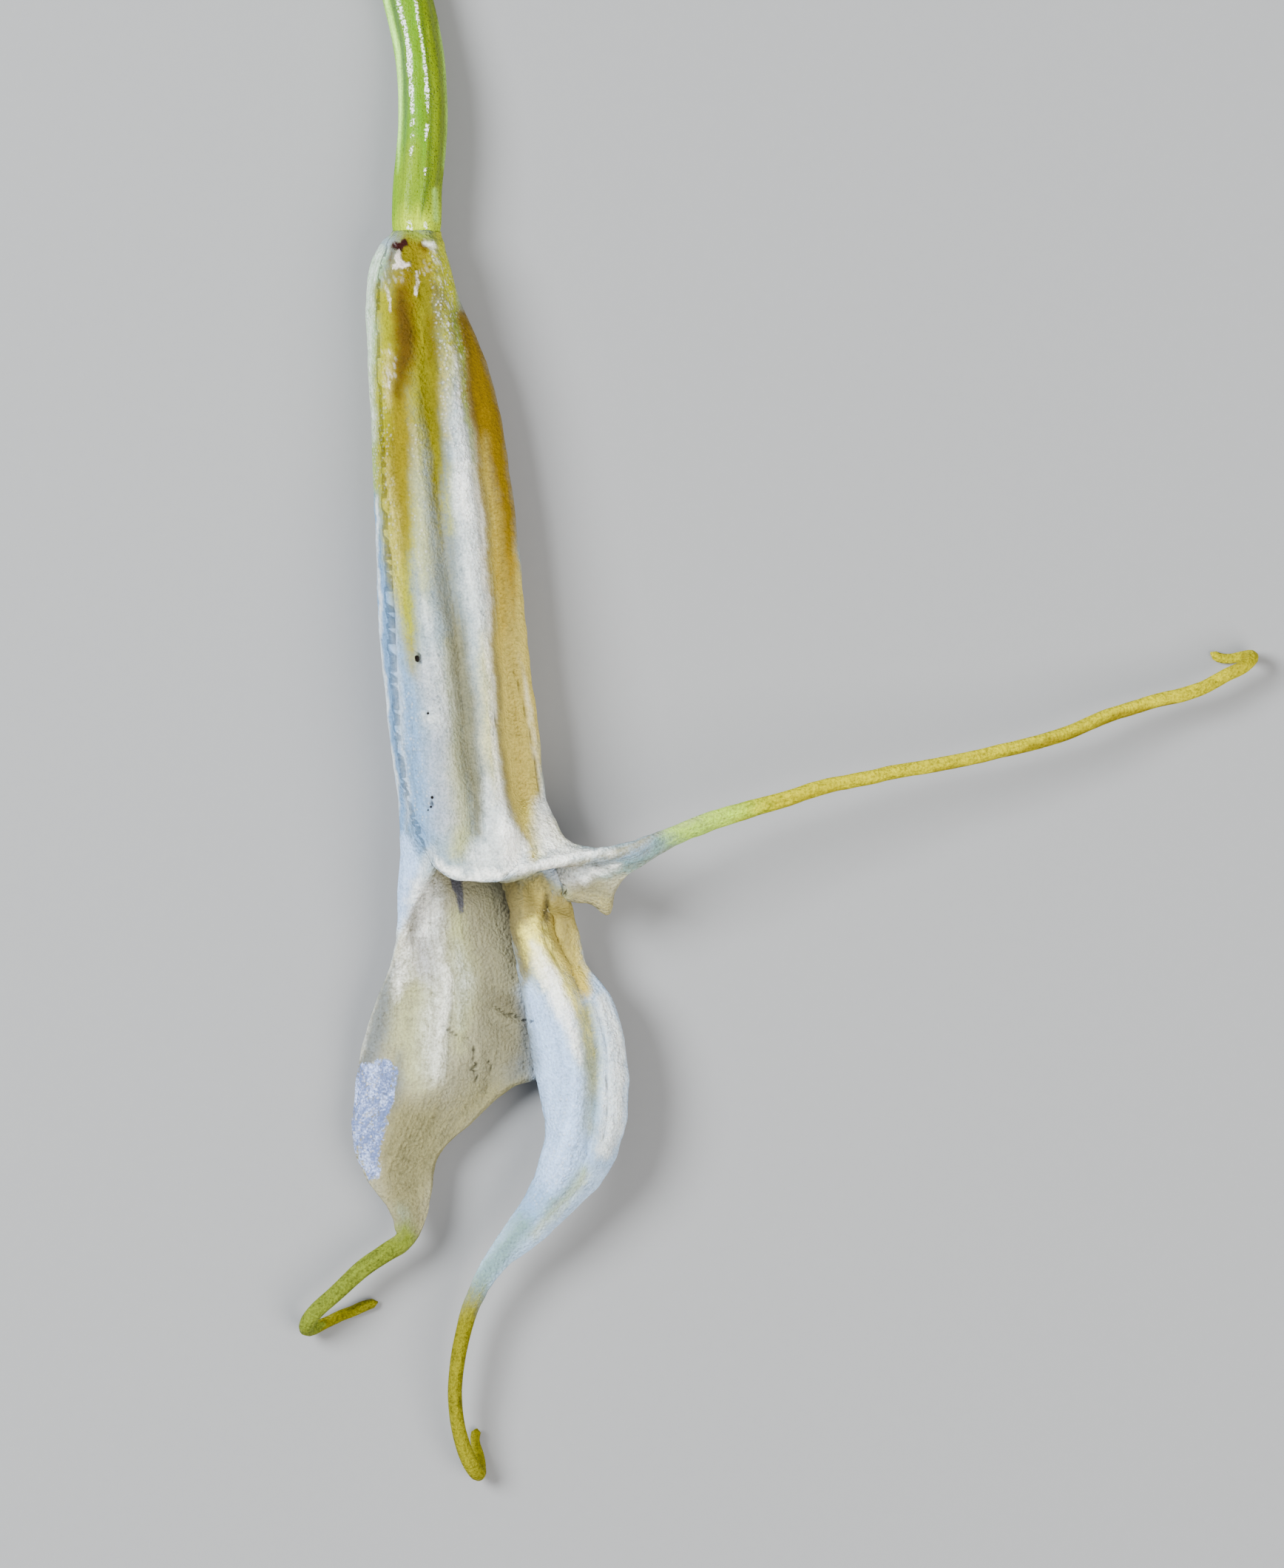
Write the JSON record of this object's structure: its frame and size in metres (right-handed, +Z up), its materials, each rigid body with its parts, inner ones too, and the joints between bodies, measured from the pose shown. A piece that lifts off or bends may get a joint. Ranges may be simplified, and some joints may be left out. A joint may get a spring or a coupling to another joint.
{
  "type": "masdevallia orchid flower",
  "caption": "Tubular white masdevallia flower on its cut green stem, with long tails on its sepal blades, lying on its back.",
  "frame": {"origin": "middle of the underside's bounding box, on the surface that the flower lies on", "axes": "+Y along the tube towards the stem, +Z up, +X towards the dorsal sepal's tail"},
  "size_m": [0.0464, 0.0768, 0.0066],
  "materials": {
    "stem": "smooth, waxy, glossy along the ribs",
    "sepal": "satin, finely papillose, white to cream, yellow tails",
    "column": "satin",
    "lip": "satin, warty",
    "petal": "satin",
    "anther": "satin",
    "pollen_wax": "waxy"
  },
  "bodies": {
    "root": {"stem_ovary": "stem", "sepal_tube": "sepal", "column": "column", "lip": "lip", "petal_left": "petal", "petal_right": "petal", "anther_cap": "anther", "pollinia": "pollen_wax"}
  },
  "joints": []
}
